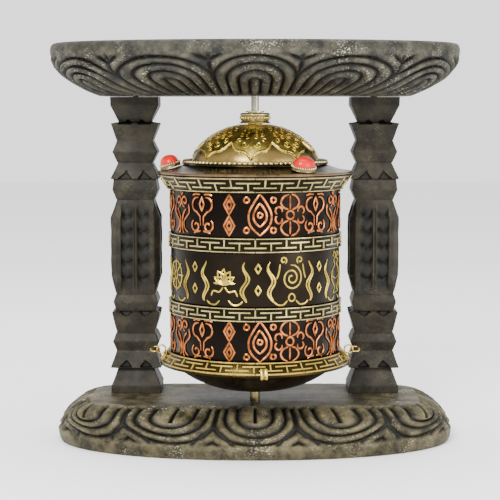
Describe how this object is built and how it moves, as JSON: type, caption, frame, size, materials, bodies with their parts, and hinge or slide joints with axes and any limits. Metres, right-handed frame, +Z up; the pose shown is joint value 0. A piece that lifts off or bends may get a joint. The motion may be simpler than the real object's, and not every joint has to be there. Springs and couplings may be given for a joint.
{
  "type": "table prayer wheel",
  "caption": "Metal prayer drum with domed lid, fret bands and skirt ring, turning on a rod between the posts of a carved wooden frame.",
  "frame": {"origin": "centre of the base board's underside, on the surface that the object stands on", "axes": "+Z up along the rod, +X along the boards to the viewer's right, -Y towards the viewer"},
  "size_m": [0.2282, 0.1354, 0.2223],
  "materials": {
    "carved_wood": "dark stained carved wood, worn pale on its ridges",
    "aged_brass": "aged brass, dark in its recesses",
    "gilt_brass": "gilt brass, chased and antiqued",
    "aged_copper": "blackened copper sheet with bright raised work",
    "dark_bronze": "near-black patina, satin",
    "bright_steel": "plain steel, dull",
    "red_coral": "polished red cabochon",
    "rolled_paper": "tightly rolled paper"
  },
  "bodies": {
    "frame": {"base_board": "carved_wood", "top_board": "carved_wood", "left_post": "carved_wood", "right_post": "carved_wood", "base_screw_left": "bright_steel", "base_screw_right": "bright_steel", "top_screw_left": "bright_steel", "top_screw_right": "bright_steel", "spindle_rod": "bright_steel", "stop_collar": "aged_brass"},
    "wheel": {"drum_shell": "dark_bronze", "lower_relief_panel": "aged_copper", "symbol_panel": "dark_bronze", "upper_relief_panel": "aged_copper", "lower_fret_band": "aged_brass", "upper_fret_band": "aged_brass", "lid_fret_band": "aged_brass", "skirt_ring": "aged_brass", "drum_pan": "dark_bronze", "drum_lid": "dark_bronze", "lid_bead_ring": "aged_brass", "lid_dome": "gilt_brass", "crown_collar": "aged_brass", "lower_bush": "aged_brass", "upper_bush": "aged_brass", "inner_tube": "aged_brass", "prayer_scroll": "rolled_paper", "ring_clasp": "aged_brass", "left_eyelet": "aged_brass", "right_eyelet": "aged_brass", "bezel_front": "aged_brass", "bezel_left": "aged_brass", "bezel_rear": "aged_brass", "coral_front": "red_coral", "coral_left": "red_coral", "coral_rear": "red_coral"},
    "left_link": {"left_link": "aged_brass"},
    "right_link": {"right_link": "aged_brass"}
  },
  "joints": [
    {"name": "wheel_spin", "type": "hinge", "parent": "frame", "child": "wheel", "pos_m": [0, -0.02, 0.1], "axis": [0, 0, 1], "continuous": true},
    {"name": "left_link_swing", "type": "hinge", "parent": "wheel", "child": "left_link", "pos_m": [-0.0541, -0.02, 0.0539], "axis": [0, 1, 0], "range_deg": [-22, 22]},
    {"name": "right_link_swing", "type": "hinge", "parent": "wheel", "child": "right_link", "pos_m": [0.0541, -0.02, 0.0539], "axis": [0, 1, 0], "range_deg": [-22, 22]}
  ]
}
